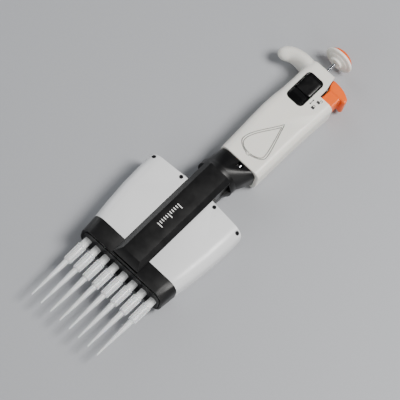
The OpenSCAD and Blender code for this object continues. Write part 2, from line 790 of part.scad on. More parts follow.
module return_springs() {
    color("#B9BBBF") at_rest() for (s = [-1, 1]) coil(s * pin_x, pin_z, 1.95, 0.3, 9, tube_y + 0.2,
        bar_y - 0.2, 5, 9);
}

// ---------- tip ejector, lower part ----------

module ejector_collar() {
    color("#2C2C30") at_rest() {
        tube(collar_out, collar_in, collar_y, collar_y + collar_t);
        for (s = [-1, 1]) translate([s * link_x, 0, link_z]) rod(link_r, 0.3, collar_y + 1);
    }
}

module ejector_bar() {
    room = wall + gap + 0.3;
    color("#141416") at_rest() difference() {
        across(-0.5, eject_bar_top) polygon(soft_rect(-base_w / 2 + room, base_w / 2 - room,
            -axis_z + room, axis_z - room,
            end_r - room, end_r - room));
        for (x = row_x) translate([x, 0, 0]) rod(nozzle_r + gap, -2, 5);
        for (s = [-1, 1]) translate([s * link_x, 0, link_z]) rod(link_r + 0.02, 0.2, 5);
    }
}

// ---------- nozzles and tips ----------

module nozzle(i) {
    end_y = tip_top_y - nozzle_grip;
    color("#F2F2F0") at_rest() translate([row_x[i], 0, 0]) difference() {
        turned([[0, end_y], [nozzle_r - 0.6, end_y], [nozzle_r - 0.4, end_y + 0.6], [nozzle_r - 0.3,
            tip_top_y],
            [nozzle_r, tip_top_y + 1], [nozzle_r, block_y + 3.5], [0, block_y + 3.5]]);
        rod(air_r, end_y - 1, block_y + 5);
    }
}

// A tip: ribbed top that grips the nozzle, then a long thin cone
module tip(i) {
    rib_y = tip_top_y - tip_rib_len;
    end_y = tip_end_y;
    grip_y = tip_top_y - nozzle_grip;
    bore = nozzle_r - 0.3 + 0.08;
    color([0.93, 0.94, 0.95, 0.8]) at_rest() translate([row_x[i], 0, 0]) {
        turned([[bore, tip_top_y], [tip_top_r - 0.25, tip_top_y], [tip_top_r - 0.25, tip_top_y - 1.4],
            [tip_top_r - 0.45, tip_top_y - 1.6], [tip_top_r - 0.75, rib_y + 0.6], [tip_cone_r, rib_y],
            [tip_end_r, end_y], [tip_end_r - 0.25, end_y], [tip_cone_r - 0.6, rib_y - 0.4],
            [nozzle_r - 0.75, rib_y + 2], [bore - 0.25, grip_y - 0.5], [bore, grip_y + 0.4]]);
        for (k = [0 : tip_ribs - 1]) rotate([0, 360 * k / tip_ribs, 0]) translate([bore + 0.1,
            rib_y + 1.2, -0.3])
            cube([tip_top_r - 0.35 - bore, tip_rib_len - 2.6, 0.6]);
        tube(tip_top_r, tip_top_r - 0.5, tip_top_y - 1.4, tip_top_y);
    }
}

// ---------- nodes ----------

handle_front();
handle_back();
handle_screws();
window_bezel();
counter_window();
counter_frame();
stem_bush();
stop_housing();
neck_adapter();
retaining_clip();
lock_slide();
volume_sleeve();
drum(0);  // drum_units
drum(1);  // drum_tens
drum(2);  // drum_hundreds
plunger_rod();
spring_washer();
plunger_spring();
blowout_spring();
stem();
thumb_button();
button_cap();
ejector_button();
ejector_rod();
ejector_spring();
swivel_ring();
column_front();
column_back();
base_housing();
left_cover_front();
left_cover_back();
right_cover_front();
right_cover_back();
cover_screws();
cylinder_block();
piston_seals();
guide_pins();
piston_bar();
drive_rod();
pistons();
return_springs();
ejector_collar();
ejector_bar();
nozzle(0);  // nozzle_1
nozzle(1);  // nozzle_2
nozzle(2);  // nozzle_3
nozzle(3);  // nozzle_4
nozzle(4);  // nozzle_5
nozzle(5);  // nozzle_6
nozzle(6);  // nozzle_7
nozzle(7);  // nozzle_8
tip(0);  // tip_1
tip(1);  // tip_2
tip(2);  // tip_3
tip(3);  // tip_4
tip(4);  // tip_5
tip(5);  // tip_6
tip(6);  // tip_7
tip(7);  // tip_8
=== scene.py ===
"""Looks of the eight-channel pipette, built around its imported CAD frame.

Pieces are modelled in millimetres in the axis frame: X along the row of tips, Y up the plunger's
axis from the base's lower face, Z out of the front, measured from the axis. place_piece() then
puts each one where the frame has it, in metres.
"""
import math

import bmesh
import bpy
import json
from mathutils import Matrix, Vector


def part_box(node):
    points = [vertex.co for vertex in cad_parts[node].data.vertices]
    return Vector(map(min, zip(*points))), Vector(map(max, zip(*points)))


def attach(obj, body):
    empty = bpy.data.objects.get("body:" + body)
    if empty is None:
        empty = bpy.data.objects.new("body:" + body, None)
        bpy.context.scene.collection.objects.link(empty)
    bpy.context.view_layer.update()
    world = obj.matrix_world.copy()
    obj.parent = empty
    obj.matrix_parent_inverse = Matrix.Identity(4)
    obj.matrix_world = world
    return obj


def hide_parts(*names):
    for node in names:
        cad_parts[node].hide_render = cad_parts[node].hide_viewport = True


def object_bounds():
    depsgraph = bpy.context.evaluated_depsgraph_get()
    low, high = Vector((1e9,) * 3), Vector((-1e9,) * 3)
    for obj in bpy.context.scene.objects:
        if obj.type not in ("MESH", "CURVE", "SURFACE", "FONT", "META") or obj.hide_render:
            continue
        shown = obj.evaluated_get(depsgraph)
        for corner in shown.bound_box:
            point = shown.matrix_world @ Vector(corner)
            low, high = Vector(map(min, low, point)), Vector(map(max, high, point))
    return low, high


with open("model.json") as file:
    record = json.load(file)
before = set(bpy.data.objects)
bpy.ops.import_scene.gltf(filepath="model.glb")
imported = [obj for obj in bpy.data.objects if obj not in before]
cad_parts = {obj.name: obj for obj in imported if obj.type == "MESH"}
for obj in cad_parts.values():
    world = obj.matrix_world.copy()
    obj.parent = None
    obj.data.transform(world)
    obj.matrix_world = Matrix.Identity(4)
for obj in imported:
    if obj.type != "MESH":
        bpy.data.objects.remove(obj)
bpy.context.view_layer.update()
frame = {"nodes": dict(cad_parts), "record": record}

MM = 0.001

# ---------------------------------------------------------------- places taken from the frame

BASE_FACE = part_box("base_housing")[0].y
AXIS_Z = (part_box("stem")[0].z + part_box("stem")[1].z) / 2


def node_box(name):
    """Lowest and highest corner of a CAD node, in millimetres in the axis frame."""
    lo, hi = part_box(name)
    shift = Vector((0, BASE_FACE, AXIS_Z))
    return (lo - shift) / MM, (hi - shift) / MM


HANDLE_LO, HANDLE_HI = node_box("handle_front")
BACK_Z = node_box("handle_back")[0].z
COLUMN_HI = node_box("column_front")[1]
WINDOW_LO, WINDOW_HI = node_box("window_bezel")
LENS_LO, LENS_HI = node_box("counter_window")
SLIDE_LO, SLIDE_HI = node_box("lock_slide")
BUTTON_LO = node_box("thumb_button")[0]
CAP_LO, CAP_HI = node_box("button_cap")
TIP_LO, TIP_HI = node_box("tip_1")
NOZZLE_LO, NOZZLE_HI = node_box("nozzle_1")
PITCH = node_box("tip_2")[0].x - TIP_LO.x
TIP_X = [TIP_LO.x + (TIP_HI.x - TIP_LO.x) / 2 + PITCH * i for i in range(8)]

# ---------------------------------------------------------------- camera and light

VIEW_AZIMUTH = math.radians(21.63)     # from straight over the tips towards the ejector's side
VIEW_ELEVATION = math.radians(66.3)
VIEW_ROLL = math.radians(46.07)
VIEW_DISTANCE = 2.0
VIEW_LENS = 250.8
VIEW_TARGET = Vector((3.26, 80.14, 0))  # millimetres, on the axis plane


def world_point(p):
    return Vector((p[0] * MM, p[1] * MM + BASE_FACE, p[2] * MM + AXIS_Z))


def make_camera():
    """A long lens from above the ejector's side, turned so that the pipette lies corner to corner."""
    away = Vector((math.cos(VIEW_ELEVATION) * math.sin(VIEW_AZIMUTH),
                   -math.cos(VIEW_ELEVATION) * math.cos(VIEW_AZIMUTH), math.sin(VIEW_ELEVATION)))
    right = (-away).cross(Vector((0, 1, 0))).normalized()
    up = right.cross(-away)
    turned_right = math.cos(VIEW_ROLL) * right + math.sin(VIEW_ROLL) * up
    turned_up = math.cos(VIEW_ROLL) * up - math.sin(VIEW_ROLL) * right
    camera = bpy.data.objects.new("camera", bpy.data.cameras.new("camera"))
    bpy.context.scene.collection.objects.link(camera)
    place = world_point(VIEW_TARGET) + VIEW_DISTANCE * away
    camera.matrix_world = Matrix((
        (turned_right.x, turned_up.x, away.x, place.x),
        (turned_right.y, turned_up.y, away.y, place.y),
        (turned_right.z, turned_up.z, away.z, place.z),
        (0, 0, 0, 1)))
    camera.data.lens = VIEW_LENS
    camera.data.sensor_width = 36
    camera.data.clip_start = 0.05
    camera.data.clip_end = 20
    bpy.context.scene.camera = camera


def area_light(name, place, aim, width, height, power, tint):
    lamp = bpy.data.lights.new(name, "AREA")
    lamp.shape = "RECTANGLE"
    lamp.size = width
    lamp.size_y = height
    lamp.energy = power
    lamp.color = tint
    holder = bpy.data.objects.new(name, lamp)
    holder.location = place
    holder.rotation_euler = (Vector(aim) - Vector(place)).to_track_quat("-Z", "Y").to_euler()
    bpy.context.scene.collection.objects.link(holder)


make_camera()
# ---------------------------------------------------------------- materials

def linear(code):
    """An sRGB hex colour as the linear values that a shader takes."""
    parts = [int(code[i:i + 2], 16) / 255 for i in (1, 3, 5)]
    return tuple(c / 12.92 if c <= 0.04045 else ((c + 0.055) / 1.055) ** 2.4 for c in parts) + (1.0,)


def add_node(tree, kind, settings=None, **inputs):
    """Adds a shader node. An input given as another node's output is linked, and any other is set."""
    made = tree.nodes.new(kind)
    for name, value in (settings or {}).items():
        setattr(made, name, value)
    for name, value in inputs.items():
        numbered = name[0] == "i" and name[1:].isdigit()
        socket = made.inputs[int(name[1:]) if numbered else name.replace("_", " ")]
        if isinstance(value, bpy.types.NodeSocket):
            tree.links.new(value, socket)
        else:
            socket.default_value = value
    return made


def moulded(name, tone, shade, rough, grain_mm, depth_mm, ior=1.5, coat=0.0, **extra):
    """An injection-moulded plastic: a fine spark-eroded grain, gloss that varies a little over the
    surface, and a faint cloudiness between two tones."""
    material = bpy.data.materials.new(name)
    material.use_nodes = True
    tree = material.node_tree
    shader = tree.nodes["Principled BSDF"]
    place = add_node(tree, "ShaderNodeTexCoord").outputs["Object"]
    grain = add_node(tree, "ShaderNodeTexNoise", Vector=place, Scale=1 / (grain_mm * MM), Detail=3.0,
                     Roughness=0.6)
    cloud = add_node(tree, "ShaderNodeTexNoise", Vector=place, Scale=1 / (24 * MM), Detail=2.0)
    handled = add_node(tree, "ShaderNodeTexNoise", Vector=place, Scale=1 / (7 * MM), Detail=4.0,
                       Roughness=0.65)
    tint = add_node(tree, "ShaderNodeMix", {"data_type": "RGBA"}, Factor=cloud.outputs["Fac"])
    tint.inputs[6].default_value = linear(tone)
    tint.inputs[7].default_value = linear(shade)
    gloss = add_node(tree, "ShaderNodeMapRange", Value=handled.outputs["Fac"])
    gloss.inputs["From Min"].default_value = 0.3
    gloss.inputs["From Max"].default_value = 0.7
    gloss.inputs["To Min"].default_value = rough - 0.05
    gloss.inputs["To Max"].default_value = rough + 0.07
    bump = add_node(tree, "ShaderNodeBump", Strength=0.35, Distance=depth_mm * MM,
                    Height=grain.outputs["Fac"])
    tree.links.new(tint.outputs[2], shader.inputs["Base Color"])
    tree.links.new(gloss.outputs["Result"], shader.inputs["Roughness"])
    tree.links.new(bump.outputs["Normal"], shader.inputs["Normal"])
    shader.inputs["IOR"].default_value = ior
    shader.inputs["Coat Weight"].default_value = coat
    for key, value in extra.items():
        shader.inputs[key.replace("_", " ")].default_value = value
    return material


def metal(name, tone, shade, rough, line_mm, depth_mm, stretch):
    """A turned, drawn or ground metal: fine lines of the tool, longer one way than the other."""
    material = bpy.data.materials.new(name)
    material.use_nodes = True
    tree = material.node_tree
    shader = tree.nodes["Principled BSDF"]
    place = add_node(tree, "ShaderNodeTexCoord").outputs["Object"]
    drawn = add_node(tree, "ShaderNodeMapping", Vector=place, Scale=stretch)
    lines = add_node(tree, "ShaderNodeTexNoise", Vector=drawn.outputs["Vector"], Scale=1 / (line_mm * MM),
                     Detail=4.0)
    tint = add_node(tree, "ShaderNodeMix", {"data_type": "RGBA"}, Factor=lines.outputs["Fac"])
    tint.inputs[6].default_value = linear(tone)
    tint.inputs[7].default_value = linear(shade)
    gloss = add_node(tree, "ShaderNodeMapRange", Value=lines.outputs["Fac"])
    gloss.inputs["To Min"].default_value = max(rough - 0.05, 0.03)
    gloss.inputs["To Max"].default_value = rough + 0.08
    bump = add_node(tree, "ShaderNodeBump", Strength=0.3, Distance=depth_mm * MM,
                    Height=lines.outputs["Fac"])
    tree.links.new(tint.outputs[2], shader.inputs["Base Color"])
    tree.links.new(gloss.outputs["Result"], shader.inputs["Roughness"])
    tree.links.new(bump.outputs["Normal"], shader.inputs["Normal"])
    shader.inputs["Metallic"].default_value = 1.0
    return material


# Light-fast ABS, moulded in a finely blasted tool: warm off-white with a soft satin gloss
HANDLE_ABS = moulded("moulded_abs_off_white", "#E9E7E0", "#E3E1D9", 0.36, 0.5, 0.012,
                     Subsurface_Weight=0.04,
                     Subsurface_Scale=0.002)
# ABS of the covers, a cooler grey-white and a little glossier on its flat faces
COVER_ABS = moulded("moulded_abs_light_grey", "#E4E5E6", "#DDDEE0", 0.32, 0.55, 0.01)
# Glass-filled polyamide of the lower unit: satin black, with a grain that catches light on edges
BLACK_PA = moulded("moulded_polyamide_black", "#060607", "#0B0B0C", 0.38, 0.45, 0.02,
                   Specular_IOR_Level=0.32)
# Polycarbonate bezel, polished in the tool: black with a sharp reflection
BEZEL_PC = moulded("polished_polycarbonate_black", "#060607", "#0A0A0B", 0.16, 0.9, 0.004, 1.58, 0.25,
                    Specular_IOR_Level=0.4)
# Smoked polycarbonate window over the counter, hard-coated: nearly black, like dark glass
WINDOW_PC = moulded("smoked_polycarbonate_window", "#040405", "#070708", 0.30, 1.6, 0.003, 1.5,
                    Specular_IOR_Level=0.35)
# Polypropylene of the ejector and the cap, dyed through: strong orange with a soft gloss
ORANGE_PP = moulded("moulded_polypropylene_orange", "#F66600", "#EE5E00", 0.34, 0.5, 0.014, 1.49)
# Acetal button: creamy white, smooth and slightly waxy
BUTTON_POM = moulded("turned_acetal_cream", "#F3F1EA", "#EBE8DE", 0.28, 0.7, 0.008, 1.48,
                     Subsurface_Weight=0.05,
                     Subsurface_Scale=0.0015)
# Acetal and polyamide parts that show only through gaps or in other poses
DARK_PA = moulded("moulded_polyamide_dark_grey", "#4A4A4E", "#55565B", 0.45, 0.45, 0.02)
BLOCK_PPS = moulded("machined_polysulphone_block", "#5C5D60", "#66686C", 0.40, 0.5, 0.015)
BUSH_POM = moulded("turned_acetal_bush", "#D8D8D6", "#CFCFCC", 0.34, 0.5, 0.01)
DRUM_ABS = moulded("moulded_abs_number_drum", "#ECECE7", "#E2E2DC", 0.42, 0.5, 0.01)
# Fluoropolymer nozzles: plain white with a dull gloss
NOZZLE_PVDF = moulded("moulded_fluoropolymer_white", "#F2F3F2", "#E8EAEA", 0.30, 0.6, 0.008, 1.42)
# Plunger stem, hard-chromed and polished: a mirror with faint drawing lines along it
CHROME = metal("polished_hard_chrome", "#D9DCE0", "#C6C9CE", 0.10, 0.5, 0.003, (1, 0.05, 1))
# Stainless steel turned on a lathe: fine rings round the axis
TURNED_STEEL = metal("turned_stainless_steel", "#B9BBC0", "#A4A6AB", 0.26, 0.25, 0.006, (0.2, 1, 0.2))
# Drawn spring wire, slightly darker than the turned parts
SPRING_WIRE = metal("drawn_spring_steel", "#A9ABB0", "#8F9196", 0.28, 0.3, 0.005, (1, 0.3, 1))
# Screws with a black zinc finish: dark metal, dull in the recess
BLACK_ZINC = metal("black_zinc_steel", "#3A3A3D", "#29292C", 0.34, 0.3, 0.006, (1, 1, 1))


def polypropylene_clear():
    """Unfilled polypropylene of the tips: translucent, milky in the thick ribs, glossy outside."""
    material = moulded("frosted_clear_polypropylene", "#FFFFFF", "#F6F9FC", 0.16, 0.8, 0.006, 1.49)
    shader = material.node_tree.nodes["Principled BSDF"]
    shader.inputs["Transmission Weight"].default_value = 0.38
    shader.inputs["Subsurface Weight"].default_value = 0.06
    shader.inputs["Subsurface Scale"].default_value = 0.002
    return material


TIP_PP = polypropylene_clear()

SLOT_FINISH = {
    "handle_plastic": HANDLE_ABS, "cover_plastic": COVER_ABS, "black_plastic": BLACK_PA,
    "black_gloss": BEZEL_PC,
    "window_lens": WINDOW_PC, "orange_plastic": ORANGE_PP, "button_white": BUTTON_POM,
    "chrome_stem": CHROME,
    "machined_steel": TURNED_STEEL, "spring_steel": SPRING_WIRE, "screw_steel": BLACK_ZINC,
    "dark_plastic": DARK_PA, "block_plastic": BLOCK_PPS, "bush_plastic": BUSH_POM, "drum_plastic": DRUM_ABS,
    "nozzle_plastic": NOZZLE_PVDF, "tip_plastic": TIP_PP,
}
NODE_SLOT = {entry["node"]: entry["material_slot"] for entry in frame["record"]["subparts"]}

for node_name, cad_node in frame["nodes"].items():
    cad_node.data.materials.clear()
    cad_node.data.materials.append(SLOT_FINISH[NODE_SLOT[node_name]])

# ---------------------------------------------------------------- modelling by hand

def clear_selection():
    bpy.ops.object.select_all(action="DESELECT")


def start(kind, **settings):
    """Adds a primitive at its size and place and returns it as the only selected object."""
    clear_selection()
    getattr(bpy.ops.mesh, f"primitive_{kind}_add")(**settings)
    bpy.ops.object.transform_apply(location=True, rotation=True, scale=True)
    return bpy.context.object


def only(piece):
    clear_selection()
    piece.select_set(True)
    bpy.context.view_layer.objects.active = piece


def edit(piece, mode):
    """Enters edit mode on one piece, selecting verts, edges or faces, with nothing picked yet."""
    only(piece)
    bpy.ops.object.mode_set(mode="EDIT")
    bpy.ops.mesh.select_mode(type=mode)
    bpy.ops.mesh.select_all(action="DESELECT")


def pick(piece, kind, test):
    """In edit mode, selects the verts, edges or faces that pass a test, and no others."""
    mesh = bmesh.from_edit_mesh(piece.data)
    bpy.ops.mesh.select_all(action="DESELECT")
    for item in getattr(mesh, kind):
        if test(item):
            item.select_set(True)
    mesh.select_flush_mode()
    bmesh.update_edit_mesh(piece.data)


def leave():
    bpy.ops.object.mode_set(mode="OBJECT")


def mid(item):
    return sum((v.co for v in item.verts), Vector()) / len(item.verts)


def bevel(piece, test, width, segments=3, profile=0.5):
    """Rounds the edges that pass a test."""
    edit(piece, "EDGE")
    pick(piece, "edges", test)
    bpy.ops.mesh.bevel(offset=width, segments=segments, profile=profile, affect="EDGES", clamp_overlap=True)
    leave()


def tidy_normals(piece):
    edit(piece, "VERT")
    bpy.ops.mesh.select_all(action="SELECT")
    bpy.ops.mesh.remove_doubles(threshold=0.002)
    bpy.ops.mesh.normals_make_consistent(inside=False)
    leave()


def modify(piece, kind, **settings):
    only(piece)
    made = piece.modifiers.new(kind.lower(), kind)
    for key, value in settings.items():
        setattr(made, key, value)
    bpy.ops.object.modifier_apply(modifier=made.name)


def combine(piece, other, operation="DIFFERENCE", keep=False):
    """Cuts, joins or intersects one closed piece with another, which is then thrown away."""
    modify(piece, "BOOLEAN", object=other, operation=operation, solver="MANIFOLD")
    if not keep:
        bpy.data.objects.remove(other)
    return piece


def copy_of(piece):
    clear_selection()
    twin = piece.copy()
    twin.data = piece.data.copy()
    bpy.context.scene.collection.objects.link(twin)
    return twin


def tower(stations, corners=(0, 0, 0, 0), segments=8):
    """A squared section drawn up through its stations: [y, x0, x1, z0, z1]. Its long edges are
    rounded by the radii given: left and right at the front, then left and right at the back."""
    y, x0, x1, z0, z1 = stations[0]
    piece = start("plane", size=1, location=((x0 + x1) / 2, y, (z0 + z1) / 2), rotation=(math.pi / 2, 0, 0))
    edit(piece, "FACE")
    bpy.ops.mesh.select_all(action="SELECT")
    bpy.ops.transform.resize(value=(x1 - x0, 1, z1 - z0), center_override=((x0 + x1) / 2, y, (z0 + z1) / 2))
    for station in stations[1:]:
        ny, nx0, nx1, nz0, nz1 = station
        shift = ((nx0 + nx1 - x0 - x1) / 2, ny - y, (nz0 + nz1 - z0 - z1) / 2)
        bpy.ops.mesh.extrude_region_move(TRANSFORM_OT_translate={"value": shift})
        bpy.ops.transform.resize(value=((nx1 - nx0) / (x1 - x0), 1, (nz1 - nz0) / (z1 - z0)),
                                 center_override=((nx0 + nx1) / 2, ny, (nz0 + nz1) / 2))
        y, x0, x1, z0, z1 = station
    leave()
    tidy_normals(piece)
    mid_x = {round(s[0], 3): ((s[1] + s[2]) / 2, (s[3] + s[4]) / 2) for s in stations}
    for index, radius in enumerate(corners):
        if radius:
            right, back = index % 2 == 1, index > 1

            def corner_edge(e):
                a, b = e.verts
                if abs(a.co.y - b.co.y) < 0.02:
                    return False
                for v in e.verts:
                    near = min(mid_x, key=lambda k: abs(k - v.co.y))
                    cx, cz = mid_x[near]
                    if (v.co.x > cx) != right or (v.co.z < cz) != back:
                        return False
                return len({round(f.normal.z, 1) for f in e.link_faces}) > 1
            bevel(piece, corner_edge, radius, segments)
    return piece


def lathe(profile, steps=64, at=(0, 0)):
    """A profile of [radius, y] points, drawn from one vertex by extrusion and spun about the axis."""
    piece = start("plane", size=0.5, location=(at[0] + profile[0][0], profile[0][1], at[1]))
    edit(piece, "VERT")
    bpy.ops.mesh.select_all(action="SELECT")
    bpy.ops.mesh.merge(type="CENTER")
    previous = profile[0]
    for point in profile[1:]:
        bpy.ops.mesh.extrude_region_move(
            TRANSFORM_OT_translate={"value": (point[0] - previous[0], point[1] - previous[1], 0)})
        previous = point
    bpy.ops.mesh.select_all(action="SELECT")
    bpy.ops.mesh.spin(steps=steps, angle=math.tau, center=(at[0], 0, at[1]), axis=(0, 1, 0),
                      use_auto_merge=True)
    bpy.ops.mesh.select_all(action="SELECT")
    bpy.ops.mesh.remove_doubles(threshold=0.0008)
    bpy.ops.mesh.normals_make_consistent(inside=False)
    leave()
    return piece


def prism(outline, z0, z1):
    """An outline of [x, y] points, drawn from one vertex, filled, and extruded from z0 to z1."""
    piece = start("plane", size=0.5, location=(outline[0][0], outline[0][1], z0))
    edit(piece, "VERT")
    bpy.ops.mesh.select_all(action="SELECT")
    bpy.ops.mesh.merge(type="CENTER")
    previous = outline[0]
    for point in outline[1:]:
        bpy.ops.mesh.extrude_region_move(
            TRANSFORM_OT_translate={"value": (point[0] - previous[0], point[1] - previous[1], 0)})
        previous = point
    bpy.ops.mesh.select_all(action="SELECT")
    bpy.ops.mesh.edge_face_add()
    bpy.ops.mesh.select_all(action="SELECT")
    bpy.ops.mesh.extrude_region_move(TRANSFORM_OT_translate={"value": (0, 0, z1 - z0)})
    leave()
    tidy_normals(piece)
    return piece


def rounded_outline(x0, x1, y0, y1, radius, n=6):
    points = []
    for cx, cy, a in ((x1 - radius, y0 + radius, 270), (x1 - radius, y1 - radius, 0),
                      (x0 + radius, y1 - radius, 90), (x0 + radius, y0 + radius, 180)):
        for i in range(n + 1):
            angle = math.radians(a + 90 * i / n)
            points.append((cx + radius * math.cos(angle), cy + radius * math.sin(angle)))
    return points


def arm(stations, steps=24):
    """A round bar drawn along a path: each station is [x, y, z, half height, half depth, heading],
    where the heading is the path's direction in degrees, turned in the plane of X and Y."""
    x, y, z, a, b, heading = stations[0]
    piece = start("circle", vertices=steps, radius=1, fill_type="NGON", location=(x, y, z),
                  rotation=(0, math.pi / 2, 0))
    edit(piece, "FACE")
    bpy.ops.mesh.select_all(action="SELECT")
    bpy.ops.transform.resize(value=(1, a, b), center_override=(x, y, z))
    bpy.ops.transform.rotate(value=-math.radians(heading), orient_axis="Z", center_override=(x, y, z))
    for station in stations[1:]:
        nx, ny, nz, na, nb, turned = station
        bpy.ops.mesh.extrude_region_move(TRANSFORM_OT_translate={"value": (nx - x, ny - y, nz - z)})
        bpy.ops.transform.resize(value=(na / a, na / a, nb / b), center_override=(nx, ny, nz))
        bpy.ops.transform.rotate(value=-math.radians(turned - heading), orient_axis="Z",
                                 center_override=(nx, ny, nz))
        x, y, z, a, b, heading = station
    leave()
    tidy_normals(piece)
    return piece


def softened(name, width, segments=3, angle=28):
    """A copy of a CAD node with its triangles merged into faces and its sharp edges rounded."""
    piece = copy_of(frame["nodes"][name])
    piece.parent = None
    piece.hide_render = False
    for key in list(piece.keys()):
        del piece[key]
    only(piece)
    piece.data.transform(Matrix.Translation(Vector((0, -BASE_FACE, -AXIS_Z))))
    piece.data.transform(Matrix.Scale(1 / MM, 4))
    edit(piece, "VERT")
    bpy.ops.mesh.select_all(action="SELECT")
    bpy.ops.mesh.remove_doubles(threshold=0.004)
    bpy.ops.mesh.dissolve_limited(angle_limit=math.radians(0.6))
    bpy.ops.mesh.customdata_custom_splitnormals_clear()
    leave()
    modify(piece, "BEVEL", width=width, segments=segments, limit_method="ANGLE",
           angle_limit=math.radians(angle),
           use_clamp_overlap=True, harden_normals=False)
    return piece


def place_piece(piece, name, body, slot, nodes=(), finish=None, smooth=32):
    """Puts a finished piece where the frame has it, in metres, with its finish and its body."""
    piece.name = piece.data.name = name
    piece.data.materials.clear()
    piece.data.materials.append(finish or SLOT_FINISH[slot])
    only(piece)
    piece.scale = (MM, MM, MM)
    piece.location = (0, BASE_FACE, AXIS_Z)
    bpy.ops.object.transform_apply(location=True, rotation=True, scale=True)
    bpy.ops.object.shade_smooth_by_angle(angle=math.radians(smooth))
    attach(piece, body)
    if nodes:
        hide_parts(*nodes)
    return piece

# ---------------------------------------------------------------- handle

FRONT = HANDLE_HI.z                     # the handle's front face
BACK = BACK_Z
HANDLE_Y = HANDLE_LO.y
HANDLE_TOP = node_box("handle_back")[1].y
PALM = HANDLE_HI.x
SHOULDER = HANDLE_TOP - 22
HANDLE_LENGTH = 100.9
SHELL = 2.0
VOXEL = 0.5                             # grain of the remesh that blends the hook into the grip
SPLIT_GAP = 0.05                        # half the gap between the handle's two shells
WINDOW_FIT = 0.15                       # room round the window in the front shell
HOOK_Z = -0.6                           # height of the hook's centre line
MARK_FLOOR = FRONT - 0.3                # printed marks are inlaid between these two heights
MARK_TOP = FRONT + 0.04


def handle_form(grow):
    """The grip: narrow at the neck, full half way up on the finger side, and rounded over at the top."""
    widths = [(0, 13.0, PALM - 1.7), (20, 13.7, PALM - 1.65), (34, 14.3, PALM - 1.6),
              (48, 14.7, PALM - 1.4),
              (58, 14.4, PALM - 1.1), (67, 13.5, PALM - 0.7), (78, 13.1, PALM - 0.2),
              (HANDLE_LENGTH, 13.0, PALM)]
    stations = []
    for y, left, right in widths:
        end = -grow if y == 0 else (grow if y > 100 else 0)
        stations.append((HANDLE_Y + y + end, -left - grow, right + grow, BACK - grow, FRONT + grow))
    form = tower(stations, (6.6 + grow, 5.6 + grow, 6.6 + grow, 5.6 + grow), 8)
    top = HANDLE_Y + HANDLE_LENGTH + grow
    bevel(form, lambda e: all(abs(v.co.y - top) < 0.05 for v in e.verts), 3.4 + grow, 5)
    return form


def hook_form():
    """The finger hook: as deep as the grip at its root, drawn out and down to a blunt round tip."""
    y = HANDLE_TOP
    bar = arm([(-4, y - 7.6, HOOK_Z, 6.6, 11.2, 180), (-12, y - 5.7, HOOK_Z, 6.0, 10.8, 177),
               (-17, y - 4.9, HOOK_Z, 5.9, 10.0, 180),
               (-21.5, y - 4.9, HOOK_Z, 5.8, 8.9, 184), (-25.5, y - 5.6, HOOK_Z, 5.8, 7.6, 195),
               (-28.8, y - 7.0, HOOK_Z, 5.8, 6.6, 210),
               (-31.0, y - 8.9, HOOK_Z, 5.75, 5.9, 226), (-32.4, y - 10.6, HOOK_Z, 5.2, 5.2, 232),
               (-33.7, y - 12.4, HOOK_Z, 3.9, 3.9, 235),
               (-34.4, y - 13.5, HOOK_Z, 2.2, 2.2, 236), (-34.6, y - 13.9, HOOK_Z, 0.7, 0.7, 236)], 28)
    return bar


def ejector_room():
    """What the ejector's pad and stalk need clear of the grip, with the lips that slope over the pad."""
    top, floor = HANDLE_TOP, SHOULDER
    lips = prism([(8.9, top + 20), (8.9, top - 2.5), (11.4, top - 14), (11.4, floor), (60, floor),
                  (60, top + 20)], -30, 30)
    inner = prism([(9.1, top + 20), (9.1, top - 12.2), (9.6, top - 16.2), (11.5, floor + 2),
                   (60, floor + 2), (60, top + 20)],
                  -9.3, 9.3)
    stalk = start("cube", size=1, location=(17.7, floor - 4, 0), scale=(11.4, 12, 16.6))
    combine(lips, inner, "UNION")
    return combine(lips, stalk, "UNION")


def handle_shells():
    """The grip with its hook, hollowed, opened for what passes through, and split into two shells."""
    form = handle_form(0)
    combine(form, hook_form(), "UNION")
    modify(form, "REMESH", mode="VOXEL", voxel_size=VOXEL)
    modify(form, "SMOOTH", factor=0.5, iterations=9)
    hollow = handle_form(-SHELL)
    kept = start("cube", size=1, location=(39.4, SHOULDER + 28.2, 0), scale=(60, 60, 100))
    combine(hollow, kept)
    for cutter in (hollow, ejector_room(), prism(rounded_outline(WINDOW_LO.x - WINDOW_FIT,
                                                                 WINDOW_HI.x + WINDOW_FIT,
                                                                 WINDOW_LO.y - WINDOW_FIT,
                                                                WINDOW_HI.y + WINDOW_FIT, 3.75), -1,
                                                                FRONT + 8),
                   start("cylinder", vertices=64, radius=9.8, depth=6, location=(0, HANDLE_Y, 0),
                         rotation=(math.pi / 2, 0, 0)),
                   start("cylinder", vertices=40, radius=3.2, depth=16, location=(0, HANDLE_TOP, 0),
                         rotation=(math.pi / 2, 0, 0)),
                   start("cylinder", vertices=24, radius=1.5, depth=6, location=(7.2, HANDLE_Y, 7.6),
                         rotation=(math.pi / 2, 0, 0))):
        combine(form, cutter)
    for place in HANDLE_SCREWS:
        combine(form, start("cylinder", vertices=32, radius=2.15, depth=8,
                            location=(place.x, place.y, place.z - 1.9)))
    for ring in (0, 1):
        combine(form, teardrop(ring))
    combine(form, soft_valley())
    back = copy_of(form)
    front_half = start("cube", size=1, location=(0, HANDLE_Y + 50, 50 + SPLIT_GAP), scale=(200, 300, 100))
    back_half = start("cube", size=1, location=(0, HANDLE_Y + 50, -50 - SPLIT_GAP), scale=(200, 300, 100))
    combine(form, front_half, "INTERSECT")
    combine(back, back_half, "INTERSECT")
    place_piece(form, "handle_shell_front", "handle", "handle_plastic", ["handle_front"], smooth=38)
    place_piece(back, "handle_shell_back", "handle", "handle_plastic", ["handle_back"], smooth=38)


